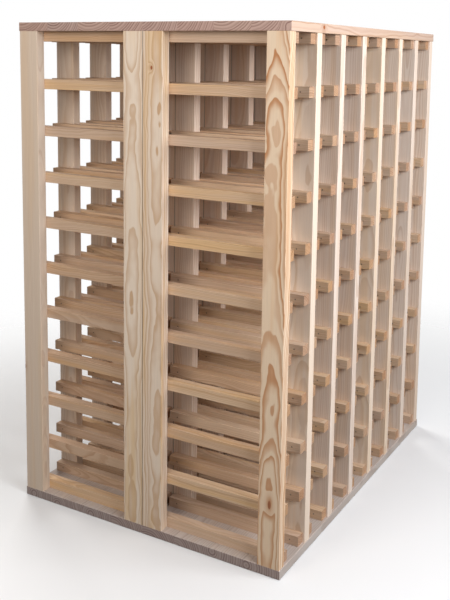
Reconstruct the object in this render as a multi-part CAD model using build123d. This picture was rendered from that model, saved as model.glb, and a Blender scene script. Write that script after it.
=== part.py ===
from build123d import *
import os

# Free-standing pine wine rack: two back-to-back modules of eight ladder frames
# between one full-depth top board and one full-depth bottom board.
# X runs along the long face, Y through the depth, Z up; the origin is the centre
# of the footprint on the floor. All sizes in millimetres.

# ---- driving dimensions --------------------------------------------------
rack_width = 820.0          # along X, over the two end ladders
rack_depth = 640.0          # along Y, over the boards
rack_height = 1050.0
board_thickness = 18.0
board_edge_round = 1.0      # broken arrises of the planed boards
face_overhang = 2.0         # boards stand this far proud of the outer posts

ladder_count = 8            # seven columns of bottles per module
post_thickness = 22.0       # along X
post_width = 47.0           # along Y
post_edge_round = 0.8

rung_count = 11             # ten rows of bottles
rung_height = 21.0
rung_thickness = 21.0       # along X, standing off the post's side
rung_pitch = 99.8           # from rung to rung, counted down from the top board
rung_setback = 4.5          # rung ends stop short of the posts' outer faces
rung_edge_round = 0.6

nail_length = 28.0         # both tips stop short of the screws in the post's middle
nail_diameter = 2.0
nail_head_diameter = 3.2
nail_head_thickness = 1.2
nail_head_sunk = 0.4        # the head is set just below the rung's side

screw_length = 58.0
screw_diameter = 4.0
screw_head_diameter = 8.4
screw_head_height = 3.2
screw_head_sunk = 0.5
screw_recess_width = 1.6
screw_recess_length = 4.6
screw_recess_depth = 1.4

# ---- what follows from them ----------------------------------------------
inner_bottom = board_thickness
inner_top = rack_height - board_thickness
post_length = inner_top - inner_bottom
module_depth = rack_depth / 2 - face_overhang
rung_length = module_depth - 2 * rung_setback
ladder_pitch = (rack_width - post_thickness) / (ladder_count - 1)
first_ladder_x = -(rack_width - post_thickness) / 2

LADDERS = range(1, ladder_count + 1)
MODULES = {"front": -1, "rear": 1}      # the side of Y = 0 that the module is on

os.makedirs("parts", exist_ok=True)


def save(name, *solids):
    # One STEP file per node; a group of like pieces stays separate solids.
    shape = solids[0] if len(solids) == 1 else Compound(children=list(solids))
    shape.label = name
    export_step(shape, "parts/" + name + ".step")


def ladder_x(ladder):
    return first_ladder_x + (ladder - 1) * ladder_pitch


def rung_sides(ladder):
    # The end ladders carry rungs on their inner side only.
    sides = []
    if ladder > 1:
        sides.append(-1)
    if ladder < ladder_count:
        sides.append(1)
    return sides


def rung_middles():
    # Heights of the rungs' middles: the top rung touches the top board, and the
    # lowest one rests on the bottom board.
    heights = [inner_top - rung_height / 2 - row * rung_pitch for row in range(rung_count - 1)]
    heights.append(inner_bottom + rung_height / 2)
    return heights


def post_middle_y(side, place):
    # Outer posts stand at the long faces, inner posts back to back at the middle.
    from_middle = post_width / 2
    if place == "outer":
        from_middle = module_depth - post_width / 2
    return side * from_middle


def nail_solid():
    # A lost-head nail along +X with the outside of its head at X = 0.
    shank = Cylinder(nail_diameter / 2, nail_length, align=(Align.CENTER, Align.CENTER, Align.MIN))
    head = Cylinder(nail_head_diameter / 2, nail_head_thickness,
                    align=(Align.CENTER, Align.CENTER, Align.MIN))
    return (shank + head).rotate(Axis.Y, 90)


def nail_place(ladder, rung_side, y, z):
    # Driven from the rung's free side through the rung into the post.
    x = ladder_x(ladder) + rung_side * (post_thickness / 2 + rung_thickness - nail_head_sunk)
    turn = 180 if rung_side > 0 else 0
    return Pos(x, y, z) * Rot(0, 0, turn)


def nail_bore(ladder, rung_side, y, z):
    # The nail's own hole, and the small dent over its sunk head.
    dent = Cylinder(nail_head_diameter / 2, 2.0 * nail_head_sunk).rotate(Axis.Y, 90)
    return nail_place(ladder, rung_side, y, z) * (nail_solid() + dent)


def rung(side):
    # One pine rung along Y for the side +1 of a ladder, at the ladder's own X = 0
    # and its middle at Z = 0, with the bores of its two nails.
    middle_y = side * module_depth / 2
    x = post_thickness / 2 + rung_thickness / 2
    bar = Pos(x, middle_y, 0) * Box(rung_thickness, rung_length, rung_height)
    bar = fillet(bar.edges().filter_by(Axis.Y), rung_edge_round)
    return bar


def bored_rung(side, ladder, rung_side):
    bar = rung(side)
    if rung_side < 0:
        bar = bar.mirror(Plane.YZ)
    bar = Pos(ladder_x(ladder), 0, 0) * bar
    for place in ("outer", "inner"):
        bar = bar - nail_bore(ladder, rung_side, post_middle_y(side, place), 0)
    return bar


def post(side, place, sides):
    # One upright at X = 0 with its nail and screw bores.
    y = post_middle_y(side, place)
    upright = Pos(0, y, (inner_bottom + inner_top) / 2) * Box(post_thickness, post_width, post_length)
    upright = fillet(upright.edges().filter_by(Axis.Z), post_edge_round)
    bores = []
    depth_in_post = nail_length - rung_thickness + nail_head_sunk
    for rung_side in sides:
        x = rung_side * (post_thickness / 2 - depth_in_post / 2)
        for z in rung_middles():
            bore = Cylinder(nail_diameter / 2, depth_in_post).rotate(Axis.Y, 90)
            bores.append(Pos(x, post_middle_y(side, place), z) * bore)
    depth_in_end = screw_length + screw_head_sunk - board_thickness
    for z in (inner_bottom + depth_in_end / 2, inner_top - depth_in_end / 2):
        bores.append(Pos(0, y, z) * Cylinder(screw_diameter / 2, depth_in_end))
    return upright - bores


def screw_form():
    # The outer form of a countersunk wood screw that points down (-Z), with the
    # top of its head at Z = 0.
    head = Cone(screw_diameter / 2, screw_head_diameter / 2, screw_head_height,
                align=(Align.CENTER, Align.CENTER, Align.MAX))
    shank = Cylinder(screw_diameter / 2, screw_length, align=(Align.CENTER, Align.CENTER, Align.MAX))
    return head + shank


def screw_solid():
    # The screw, with a plain cross recess in its head.
    recess = Box(screw_recess_length, screw_recess_width, 2 * screw_recess_depth)
    recess = recess + Box(screw_recess_width, screw_recess_length, 2 * screw_recess_depth)
    return screw_form() - recess


def screw_bore():
    # What the screw takes out of a board, open to the board's outer face.
    mouth = Cylinder(screw_head_diameter / 2, 2 * screw_head_sunk)
    return screw_form() + mouth


def screw_places(top):
    # One screw through the board into each post's end.
    places = []
    for side in MODULES.values():
        for place in ("outer", "inner"):
            for ladder in LADDERS:
                x = ladder_x(ladder)
                y = post_middle_y(side, place)
                if top:
                    places.append(Pos(x, y, rack_height - screw_head_sunk))
                else:
                    places.append(Pos(x, y, screw_head_sunk) * Rot(180, 0, 0))
    return places


def board(top):
    z = rack_height - board_thickness / 2 if top else board_thickness / 2
    panel = Pos(0, 0, z) * Box(rack_width, rack_depth, board_thickness)
    panel = fillet(panel.edges(), board_edge_round)
    return panel - [where * screw_bore() for where in screw_places(top)]


# ---- boards and their screws ---------------------------------------------
save("top_board", board(True))
save("bottom_board", board(False))
save("top_board_screws", *[where * screw_solid() for where in screw_places(True)])
save("bottom_board_screws", *[where * screw_solid() for where in screw_places(False)])

# ---- ladder frames --------------------------------------------------------
for module, side in MODULES.items():
    nails = []
    posts = {}
    for ladder in LADDERS:
        sides = rung_sides(ladder)
        for place in ("outer", "inner"):
            kind = (place, tuple(sides))
            if kind not in posts:
                posts[kind] = post(side, place, sides)
            save(module + "_" + place + "_post_" + str(ladder), Pos(ladder_x(ladder), 0, 0) * posts[kind])
        rungs = []
        for rung_side in sides:
            bar = bored_rung(side, ladder, rung_side)
            for z in rung_middles():
                rungs.append(Pos(0, 0, z) * bar)
                for place in ("outer", "inner"):
                    y = post_middle_y(side, place)
                    nails.append(nail_place(ladder, rung_side, y, z) * nail_solid())
        save(module + "_rungs_" + str(ladder), *rungs)
    save(module + "_rung_nails", *nails)
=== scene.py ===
from math import radians, tau

import bpy
from mathutils import Matrix, Vector


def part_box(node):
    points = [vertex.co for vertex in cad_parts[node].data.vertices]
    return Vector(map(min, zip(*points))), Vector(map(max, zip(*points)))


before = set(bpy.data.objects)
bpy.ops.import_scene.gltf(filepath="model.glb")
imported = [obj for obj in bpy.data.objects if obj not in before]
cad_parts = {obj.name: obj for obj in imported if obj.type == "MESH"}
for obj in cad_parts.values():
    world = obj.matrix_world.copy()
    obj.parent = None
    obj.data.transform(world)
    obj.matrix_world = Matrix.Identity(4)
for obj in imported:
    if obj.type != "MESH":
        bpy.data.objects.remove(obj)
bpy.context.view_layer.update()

# A free-standing rack of planed pine: eight ladder frames in each of two
# back-to-back modules, nailed up and screwed between two edge-glued boards.
# The CAD nodes already have every stick's shape, bores and broken arrises,
# so each keeps its mesh and gets the finish of the real wood or steel.

# ---- bottom board ----------------------------------------------------------
# A panel of edge-glued pine staves, planed and left bare, that lies on the
# floor and carries the rack. It is laid down first, staves along the long face.

MM = 0.001
KNOT_BROWN = "#9A5C38"
ENDLESS = 20.0     # a cell this long is never left, so only its other sides divide the wood


def paint(hex_code):
    # An sRGB hex colour as the linear colour that a shader wants.
    parts = [int(hex_code[i:i + 2], 16) / 255 for i in (1, 3, 5)]
    return [c / 12.92 if c <= 0.04045 else ((c + 0.055) / 1.055) ** 2.4 for c in parts] + [1.0]


def add(tree, kind, inputs=(), out=0, **settings):
    # A node with its settings. Each input, by place or name, is set or linked.
    node = tree.nodes.new("ShaderNode" + kind)
    for key, value in settings.items():
        setattr(node, key, value)
    for place, value in (inputs.items() if isinstance(inputs, dict) else enumerate(inputs)):
        if isinstance(value, bpy.types.NodeSocket):
            tree.links.new(value, node.inputs[place])
        elif value is not None:
            node.inputs[place].default_value = value
    return node.outputs[out]


def pine(name, along, corner, cell, seed, early, late, sawn, *, streak, ring, heart,
         turns=(0.0, tau), lean=18 * MM, sway=10 * MM, ripple=2.4 * MM,
         flame="#D8AE78", flame_depth=0.45, tint=0.05, glue_line_and_seam_width=0.6 * MM,
         knots=(), chance_knots=0.25):
    # Scots pine, planed and unfinished. To the eye: honey lines of late wood in
    # pale early wood, straight where the stick was cut beside the heart and in
    # arches where it was cut across it, fine fibres, a few red-brown knots, a
    # dull sheen, and growth rings as arcs on the darker sawn ends.
    # It is solid wood: the rings, one ring wide, go round a heart that lies
    # beside each stick, at a distance between the two in heart and at an angle
    # between the two in turns. Each cell of space is another stick, with its own
    # heart and shade. Each knot is its centre, its radius, and how many times
    # longer it is along the grain than across.
    material = bpy.data.materials.new(name)
    material.use_nodes = True
    tree = material.node_tree
    shader = tree.nodes["Principled BSDF"]

    place = add(tree, "TexCoord", out="Object")
    from_corner = add(tree, "VectorMath", (place, corner), operation="SUBTRACT")
    cells = add(tree, "VectorMath", (from_corner, cell), operation="DIVIDE")
    stick_number = add(tree, "VectorMath", (cells,), operation="FLOOR")
    luck = add(tree, "TexWhiteNoise", {"Vector": stick_number, "W": seed}, "Color",
               noise_dimensions="4D")
    turn_luck, heart_luck, end_luck = add(tree, "SeparateColor", (luck,)).node.outputs[:3]
    shade_luck = luck.node.outputs["Value"]
    in_cell = add(tree, "VectorMath", (cells,), operation="FRACTION")
    centred = add(tree, "VectorMath", (in_cell, (0.5, 0.5, 0.5)), operation="SUBTRACT")
    in_stick = add(tree, "VectorMath", (centred, cell), operation="MULTIPLY")

    # The stick's own axes: across it, through it, and along its grain, where
    # each one is cut from somewhere else in a long pattern.
    axes = add(tree, "SeparateXYZ", (in_stick,)).node.outputs
    order = {"X": (1, 2, 0), "Y": (0, 2, 1), "Z": (0, 1, 2)}[along]
    across, through, down = (axes[i] for i in order)
    pattern_length = 50.0
    along_log = add(tree, "Math", (end_luck, pattern_length, down), operation="MULTIPLY_ADD")
    stick = add(tree, "CombineXYZ", (across, through, along_log))

    # The heart: beside the stick, leaning along it and swaying every 380 mm or
    # so, as the tree grew.
    sway_length = 380 * MM
    turn = add(tree, "Math", (turn_luck, turns[1] - turns[0], turns[0]), operation="MULTIPLY_ADD")
    distance = add(tree, "Math", (heart_luck, heart[1] - heart[0], heart[0]),
                   operation="MULTIPLY_ADD")
    slope = add(tree, "Math", (shade_luck, 2 * lean, -lean), operation="MULTIPLY_ADD")
    distance = add(tree, "Math", (down, slope, distance), operation="MULTIPLY_ADD")
    cosine = add(tree, "Math", (turn,), operation="COSINE")
    sine = add(tree, "Math", (turn,), operation="SINE")
    heart_across = add(tree, "Math", (cosine, distance), operation="MULTIPLY")
    heart_through = add(tree, "Math", (sine, distance), operation="MULTIPLY")
    heart_place = add(tree, "CombineXYZ", (heart_across, heart_through))
    slow = add(tree, "Math", (along_log, sway_length), operation="DIVIDE")
    bend = add(tree, "TexNoise", {"W": slow, "Scale": 1.0, "Detail": 2.0}, "Color",
               noise_dimensions="1D")
    bend = add(tree, "VectorMath", (bend, (0.5, 0.5, 0.5)), operation="SUBTRACT")
    heart_place = add(tree, "VectorMath", (bend, (2 * sway, 2 * sway, 0), heart_place),
                      operation="MULTIPLY_ADD")
    flat = add(tree, "CombineXYZ", (across, through))
    from_heart = add(tree, "VectorMath", (flat, heart_place), operation="SUBTRACT")
    radius = add(tree, "VectorMath", (from_heart,), out=1, operation="LENGTH")

    # Knots: chance ones, one to each 70 x 70 x 310 mm of wood before most are
    # left out, and those listed. Real ones are 5 to 10 mm across.
    knot_grid = (70 * MM, 70 * MM, 310 * MM)
    knot_shape = (70 * MM, 70 * MM, 220 * MM)    # so a knot is 310 / 220 as long as it is wide
    knot_radius = 5 * MM
    loose = add(tree, "VectorMath", (stick, knot_grid), operation="DIVIDE")
    spot = add(tree, "TexVoronoi", {"Vector": loose, "Scale": 1.0}, "Position",
               voronoi_dimensions="3D")
    gap = add(tree, "VectorMath", (loose, spot), operation="SUBTRACT")
    gap = add(tree, "VectorMath", (gap, knot_shape), operation="MULTIPLY")
    nearest = add(tree, "VectorMath", (gap,), out=1, operation="LENGTH")
    spot_luck = add(tree, "SeparateColor", (spot.node.outputs["Color"],))
    absent = add(tree, "Math", (spot_luck, chance_knots), operation="GREATER_THAN")
    nearest = add(tree, "Math", (nearest, absent), operation="ADD")
    for centre, size, tall in knots:
        squeeze = [knot_radius / size / (tall if axis == along else 1.0) for axis in "XYZ"]
        gap = add(tree, "VectorMath", (place, centre), operation="SUBTRACT")
        gap = add(tree, "VectorMath", (gap, squeeze), operation="MULTIPLY")
        gap = add(tree, "VectorMath", (gap,), out=1, operation="LENGTH")
        nearest = add(tree, "Math", (nearest, gap), operation="MINIMUM")
    knot_edge = (6.5 * MM, 4.2 * MM)     # from clear wood to knot
    swirl = (26 * MM, 3 * MM)            # from straight rings to the most bent ones
    knot = add(tree, "MapRange", (nearest, *knot_edge), interpolation_type="SMOOTHSTEP")
    round_knot = add(tree, "MapRange", (nearest, *swirl), interpolation_type="SMOOTHSTEP")

    # The years: rings wider and narrower by turns, rippling along the stick and
    # pushed out round a knot, each one darkening slowly and ending sharply.
    ripple_size = (33 * MM, 33 * MM, 70 * MM)
    ring_push = 6 * MM
    stretched = add(tree, "VectorMath", (stick, ripple_size), operation="DIVIDE")
    wave = add(tree, "TexNoise", {"Vector": stretched, "Scale": 1.0, "Detail": 2.0})
    radius = add(tree, "Math", (wave, 2 * ripple, radius), operation="MULTIPLY_ADD")
    radius = add(tree, "Math", (round_knot, ring_push, radius), operation="MULTIPLY_ADD")
    years = add(tree, "Math", (radius, ring), operation="DIVIDE")
    spells_a_year = 0.45                 # good and bad spells of weather
    years_moved = 1.6                    # how far they shift a ring
    pace = add(tree, "Math", (years, spells_a_year), operation="MULTIPLY")
    pace = add(tree, "TexNoise", {"W": pace, "Scale": 1.0}, noise_dimensions="1D")
    years = add(tree, "Math", (pace, years_moved, years), operation="MULTIPLY_ADD")
    season = add(tree, "Math", (years,), operation="FRACT")
    summer, autumn, winter = 0.25, 0.86, 0.92
    rise = add(tree, "MapRange", (season, summer, autumn), interpolation_type="SMOOTHSTEP")
    drop = add(tree, "MapRange", (season, 1.0, winter), interpolation_type="SMOOTHSTEP")
    late_wood = add(tree, "Math", (rise, drop), operation="MULTIPLY")
    year = add(tree, "Math", (years,), operation="FLOOR")
    year_luck = add(tree, "TexWhiteNoise", {"W": year}, noise_dimensions="1D")
    faintest, range_of_years = 0.35, 0.75
    strength = add(tree, "Math", (year_luck, range_of_years, faintest), operation="MULTIPLY_ADD")
    late_wood = add(tree, "Math", (late_wood, strength), operation="MULTIPLY")

    # Colour: early and late wood, broad yellow flames, a halo round each knot,
    # fibres, and a small change of shade. Real fibres are a tenth of a millimetre
    # wide or less, too fine to show, so these are drawn as 1.25 mm bundles.
    fibre_size = (1.25 * MM, 1.25 * MM, 62 * MM)
    flame_size = (17 * MM, 17 * MM, 420 * MM)
    flame_edge = (0.46, 0.70)
    halo_depth = 0.40
    fibre_depth = 0.20
    middle_shade = 0.90
    fibre_place = add(tree, "VectorMath", (stick, fibre_size), operation="DIVIDE")
    fibres = add(tree, "TexNoise", {"Vector": fibre_place, "Scale": 1.0, "Detail": 3.0})
    broad_place = add(tree, "VectorMath", (stick, flame_size), operation="DIVIDE")
    broad = add(tree, "TexNoise", {"Vector": broad_place, "Scale": 1.0, "Detail": 2.0})
    flames = add(tree, "MapRange", (broad, *flame_edge, 0.0, flame_depth),
                 interpolation_type="SMOOTHSTEP")
    lines = add(tree, "Math", (late_wood, streak), operation="MULTIPLY")
    halo = add(tree, "Math", (round_knot, halo_depth), operation="MULTIPLY")
    colour = add(tree, "Mix", {0: flames, 6: paint(early), 7: paint(flame)}, 2, data_type="RGBA")
    colour = add(tree, "Mix", {0: lines, 6: colour, 7: paint(late)}, 2, data_type="RGBA")
    colour = add(tree, "Mix", {0: halo, 6: colour, 7: paint(late)}, 2, data_type="RGBA")
    colour = add(tree, "Mix", {0: knot, 6: colour, 7: paint(KNOT_BROWN)}, 2, data_type="RGBA")
    shade = add(tree, "Math", (shade_luck, 2 * tint, middle_shade - tint), operation="MULTIPLY_ADD")
    shade = add(tree, "Math", (fibres, fibre_depth, shade), operation="MULTIPLY_ADD")
    # A hue of 0.5 is no change, and so is a richness of 1.
    hue = add(tree, "Math", (turn_luck, 0.008, 0.496), operation="MULTIPLY_ADD")
    richness = add(tree, "Math", (heart_luck, 0.16, 0.92), operation="MULTIPLY_ADD")
    colour = add(tree, "HueSaturation", (hue, richness, shade, 1.0, colour))

    # Beside each stave or post is a thin dark line: a real glue line between staves, and painted
    # shade in the seam where the two modules meet.
    side = add(tree, "SeparateXYZ", (in_stick,), "Y")
    side = add(tree, "Math", (side,), operation="ABSOLUTE")
    glue_line_and_seam_darkness = 0.45
    half_wide = cell[1] / 2
    glue_line_and_seam_shade = add(tree, "MapRange",
                   (side, half_wide - glue_line_and_seam_width, half_wide - glue_line_and_seam_width / 4, 1.0, glue_line_and_seam_darkness))
    colour = add(tree, "Mix", {0: 1.0, 6: colour, 7: glue_line_and_seam_shade}, 2, data_type="RGBA",
                 blend_type="MULTIPLY")

    # A sawn end soaks up light: darker and greyer than a planed side.
    facing = add(tree, "SeparateXYZ", (add(tree, "TexCoord", out="Normal"),), "XYZ".index(along))
    facing = add(tree, "Math", (facing,), operation="ABSOLUTE")
    is_end = add(tree, "MapRange", (facing, 0.6, 0.9))    # the broken edges between are neither
    end_colour = add(tree, "Mix", {0: late_wood, 6: paint(sawn[0]), 7: paint(sawn[1])}, 2,
                     data_type="RGBA")
    end_colour = add(tree, "HueSaturation", (hue, richness, shade, 1.0, end_colour))
    colour = add(tree, "Mix", {0: is_end, 6: colour, 7: end_colour}, 2, data_type="RGBA")
    tree.links.new(colour, shader.inputs["Base Color"])

    # Hard late wood stands a hair proud of the softer early wood, and shines.
    relief = add(tree, "Math", (late_wood, fibres), operation="ADD")
    relief_height = 0.12 * MM
    early_roughness, shine = 0.58, -0.10
    bump = add(tree, "Bump", {"Strength": 0.35, "Distance": relief_height, "Height": relief})
    tree.links.new(bump, shader.inputs["Normal"])
    dullness = add(tree, "Math", (late_wood, shine, early_roughness), operation="MULTIPLY_ADD")
    tree.links.new(dullness, shader.inputs["Roughness"])
    shader.inputs["IOR"].default_value = 1.5
    shader.inputs["Specular IOR Level"].default_value = 0.35
    return material


def finish_node(node, material):
    # The CAD node keeps its mesh, and all of it takes the one material.
    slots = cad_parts[node].data.materials
    slots.clear()
    slots.append(material)


board_low, board_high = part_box("bottom_board")
STAVES = 8
stave = (board_high[1] - board_low[1]) / STAVES
first_stave = board_low[1] - 1 * MM
stave_cell = (ENDLESS, stave + 0.3 * MM, ENDLESS)
bottom_middle = (board_low[2] + board_high[2]) / 2
# Its colours are greyer than the top board's, as painted shade.
pine_panel_in_painted_shade = pine(
    "edge_glued_pine_panel_in_painted_shade", "X",
    (-ENDLESS / 2, first_stave, bottom_middle - ENDLESS / 2), stave_cell, 3.0,
    "#BDB0A6", "#988071", ("#A99890", "#806B67"),
    streak=0.45, ring=5.2 * MM, heart=(14 * MM, 50 * MM), turns=(-1.0, 1.0), flame_depth=0.1,
    knots=(((-0.410, 0.190, 0.009), 4.5 * MM, 1.0),))
finish_node("bottom_board", pine_panel_in_painted_shade)

# ---- posts -----------------------------------------------------------------
# Planed pine uprights, four to a ladder pair, the grain standing upright. Each
# was cut from another board; the corner ones show the widest range of grain.
left_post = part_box("front_outer_post_1")
next_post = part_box("front_outer_post_2")
ladder_pitch = next_post[0][0] - left_post[0][0]
first_ladder = (left_post[0][0] + left_post[1][0]) / 2
outer_middle = -(left_post[0][1] + left_post[1][1]) / 2
ROWS = 6                           # in each half of the depth, the outer posts in the last
post_row = outer_middle / (ROWS - 0.5)
post_corner = (first_ladder - ladder_pitch / 2, -ROWS * post_row, -ENDLESS / 2)
post_cell = (ladder_pitch, post_row, ENDLESS)
POST_ENDS = ("#B9A394", "#8D7263")
WIDE_SEAM_SHADE = 1.6 * MM              # the shadow where the two modules meet
pine_post = pine(
    "planed_pine_post", "Z", post_corner, post_cell, 11.0, "#E5D2C0", "#C09A78", POST_ENDS,
    streak=0.42, ring=4.4 * MM, heart=(12 * MM, 60 * MM), flame_depth=0.3, glue_line_and_seam_width=WIDE_SEAM_SHADE)
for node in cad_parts:
    if "_post_" in node:
        finish_node(node, pine_post)
orange_pine = pine(
    "planed_pine_heart_cut", "Z", post_corner, post_cell, 5.0, "#DFC4A6", "#B4733C", POST_ENDS,
    streak=0.95, ring=4.6 * MM, heart=(14 * MM, 22 * MM), turns=(-0.25, 0.25), lean=60 * MM,
    sway=16 * MM, ripple=4.0 * MM, flame="#DBAC7A",
    knots=(((-0.410, -0.295, 0.145), 3.0 * MM, 2.6),), chance_knots=0.0)
finish_node("front_outer_post_1", orange_pine)
pale_pine = pine(
    "planed_pine_sapwood", "Z", post_corner, post_cell, 19.0, "#E4D2BE", "#BE9468", POST_ENDS,
    streak=0.7, ring=5.0 * MM, heart=(16 * MM, 30 * MM), turns=(-0.7, 0.7), ripple=4.5 * MM,
    glue_line_and_seam_width=WIDE_SEAM_SHADE, flame="#DDBC8E", flame_depth=0.7,
    knots=(((-0.410, -0.021, 0.962), 2.2 * MM, 1.6),), chance_knots=0.0)
finish_node("front_inner_post_1", pale_pine)
finish_node("rear_inner_post_1", pale_pine)
grey_pine = pine(
    "planed_pine_weathered", "Z", post_corner, post_cell, 23.0, "#D8C4B0", "#B9957A", POST_ENDS,
    streak=0.35, ring=2.2 * MM, heart=(40 * MM, 80 * MM), flame_depth=0.2,
    knots=(((-0.410, 0.318, 0.300), 2.4 * MM, 2.0),), chance_knots=0.0)
finish_node("rear_outer_post_1", grey_pine)

# ---- rungs -----------------------------------------------------------------
# Square pine battens nailed to the sides of each ladder, the grain running from
# front to back. The ends are sawn square, and stop just behind the post edges.
RUNGS = 11
rung_pitch = 99.8 * MM
rung_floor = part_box("top_board")[0][2] + 10 * MM - RUNGS * rung_pitch
MODULE = 10.0                      # a cell for each half of the depth, with its edge at Y = 0
# Their colours are a little darker than the posts', as painted shade.
pine_batten = pine(
    "planed_pine_batten", "Y",
    (first_ladder, -MODULE, rung_floor), (ladder_pitch / 2, MODULE, rung_pitch), 27.0,
    "#CFB296", "#A67A56", ("#BA9474", "#8F6444"),
    streak=0.5, ring=2.6 * MM, heart=(8 * MM, 60 * MM), tint=0.08, chance_knots=0.12)
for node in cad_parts:
    if "_rungs_" in node:
        finish_node(node, pine_batten)

# ---- nails -----------------------------------------------------------------
# Lost-head steel nails, one into the post from each end of each batten, their
# small heads punched just below the wood.


def steel(name, bright, dull, roughness, cloud):
    # Bare or plated steel. To the eye: a grey metal, clouded where the die or the
    # plating bath left it dull, in clouds as many metres wide as cloud says.
    material = bpy.data.materials.new(name)
    material.use_nodes = True
    tree = material.node_tree
    shader = tree.nodes["Principled BSDF"]
    place = add(tree, "TexCoord", out="Object")
    clouds = add(tree, "TexNoise", {"Vector": place, "Scale": 1 / cloud, "Detail": 3.0})
    colour = add(tree, "Mix", {0: clouds, 6: paint(bright), 7: paint(dull)}, 2, data_type="RGBA")
    tree.links.new(colour, shader.inputs["Base Color"])
    cloud_roughness = 0.25
    dullness = add(tree, "Math", (clouds, cloud_roughness, roughness), operation="MULTIPLY_ADD")
    tree.links.new(dullness, shader.inputs["Roughness"])
    shader.inputs["Metallic"].default_value = 1.0
    return material


wire = steel("drawn_steel_wire", "#A59A8C", "#6B6057", 0.42, 1.1 * MM)
for node in ("front_rung_nails", "rear_rung_nails"):
    finish_node(node, wire)

# ---- top board -------------------------------------------------------------
# The same edge-glued panel as the bottom one, laid on the posts last and
# screwed down. It stays pinker than the bottom board, whose greyer colours are painted shade.
top_low, top_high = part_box("top_board")
top_middle = (top_low[2] + top_high[2]) / 2
pine_top = pine(
    "edge_glued_pine_top", "X",
    (-ENDLESS / 2, first_stave, top_middle - ENDLESS / 2), stave_cell, 8.0,
    "#C8AE9B", "#A2775C", ("#BA9E92", "#82635A"),
    streak=0.5, ring=5.2 * MM, heart=(30 * MM, 70 * MM), turns=(0.5, 1.4), flame_depth=0.2,
    tint=0.03,
    knots=(((-0.272, -0.320, 1.043), 3.4 * MM, 1.2), ((-0.410, -0.306, 1.046), 3.0 * MM, 1.0)))
finish_node("top_board", pine_top)

# ---- screws ----------------------------------------------------------------
# Countersunk cross-head screws, zinc plated, through each board into the end
# of every post.
zinc = steel("zinc_plated_steel", "#C9C4B4", "#9C957F", 0.28, 1.4 * MM)
for node in ("top_board_screws", "bottom_board_screws"):
    finish_node(node, zinc)

# ---- floor, light and camera -----------------------------------------------
# A pale round floor that fades into a white backdrop, and three soft boxes.
scene = bpy.context.scene
FLOOR_RADIUS = 2.0
FADE_FROM, FADE_TO = 0.60, 1.70    # metres from the middle of the rack
bpy.ops.object.select_all(action="DESELECT")
bpy.ops.mesh.primitive_circle_add(vertices=96, radius=FLOOR_RADIUS, fill_type="NGON",
                                  location=(0, 0, -0.5 * MM))
floor = bpy.context.object
floor.name = "studio_floor"
floor_paint = bpy.data.materials.new("matt_white_floor")
floor_paint.use_nodes = True
ground = floor_paint.node_tree
floor_shader = ground.nodes["Principled BSDF"]
# The eye sees a pale floor, and the rack is lit from below as by a darker one.
first_look = add(ground, "LightPath", out="Is Camera Ray")
pale = add(ground, "Mix", {0: first_look, 6: paint("#62605E"), 7: paint("#EAE9E7")}, 2,
           data_type="RGBA")
ground.links.new(pale, floor_shader.inputs["Base Color"])
floor_shader.inputs["Roughness"].default_value = 0.9
spot = add(ground, "TexCoord", out="Object")
away = add(ground, "VectorMath", (spot,), out=1, operation="LENGTH")
faded = add(ground, "MapRange", (away, FADE_FROM, FADE_TO, 1.0, 0.0),
            interpolation_type="SMOOTHSTEP")
ground.links.new(faded, floor_shader.inputs["Alpha"])
floor.data.materials.append(floor_paint)

world = bpy.data.worlds.new("studio")
scene.world = world
world.use_nodes = True
sky = world.node_tree
fill = sky.nodes["Background"]
fill.inputs["Color"].default_value = paint("#F8FAFF")
# The fill grows from just below the horizon up, and the eye sees plain white.
DARKEST, BRIGHTEST = 0.04, 0.36
toward = add(sky, "SeparateXYZ", (add(sky, "TexCoord", out="Generated"),), "Z")
daylight = add(sky, "MapRange", (toward, -0.25, 0.35, DARKEST, BRIGHTEST),
               interpolation_type="SMOOTHSTEP")
sky.links.new(daylight, fill.inputs["Strength"])
backdrop = add(sky, "Background", ((1.0, 1.0, 1.0, 1.0), 1.0))
seen = add(sky, "LightPath", out="Is Camera Ray")
both = add(sky, "MixShader", (seen, fill.outputs[0], backdrop))
sky.links.new(both, sky.nodes["World Output"].inputs[0])


def soft_box(name, spot, target, size, power, tone, glossy=True):
    # A rectangular lamp that lights the rack but isn't seen itself.
    lamp = bpy.data.lights.new(name, "AREA")
    lamp.shape = "RECTANGLE"
    lamp.size, lamp.size_y = size
    lamp.energy = power
    lamp.color = paint(tone)[:3]
    stand = bpy.data.objects.new(name, lamp)
    stand.location = spot
    stand.rotation_euler = (Vector(target) - Vector(spot)).to_track_quat("-Z", "Y").to_euler()
    stand.visible_camera = False
    stand.visible_glossy = glossy
    scene.collection.objects.link(stand)


# Cool light on the long face, a little warm light on the narrow end, and light
# from behind that leaves no glare on the tops of the rungs.
soft_box("key_soft_box", (-0.42, -1.78, 1.30), (-0.05, 0.0, 1.0), (1.8, 0.8), 51.0, "#F4F8FF")
soft_box("side_soft_box", (-1.75, 0.0, 1.28), (-0.3, 0.1, 1.0), (1.0, 0.8), 13.0, "#FFF8F0")
soft_box("back_soft_box", (1.5, 2.2, 1.6), (0.1, 0.1, 0.7), (1.4, 1.0), 55.0, "#FFFFFF",
         glossy=False)

# A camera level with the upper rungs, off the near corner, turned down only a
# little: its lens is shifted instead, which keeps the posts nearly upright.
camera_data = bpy.data.cameras.new("camera")
camera = bpy.data.objects.new("camera", camera_data)
scene.collection.objects.link(camera)
scene.camera = camera
eye = Vector((-1.787, -1.001, 0.985))
heading, pitch, roll = radians(60.65), radians(-7.29), radians(0.90)   # heading is from +Y to +X
turn = Matrix.Rotation(-heading, 4, "Z") @ Matrix.Rotation(radians(90) + pitch, 4, "X")
camera.matrix_world = Matrix.Translation(eye) @ turn @ Matrix.Rotation(roll, 4, "Z")
camera_data.sensor_width = 36.0
camera_data.lens = 52.02
camera_data.shift_x = -0.03
camera_data.shift_y = -0.22
camera_data.clip_start = 0.05

scene.view_settings.view_transform = "Standard"
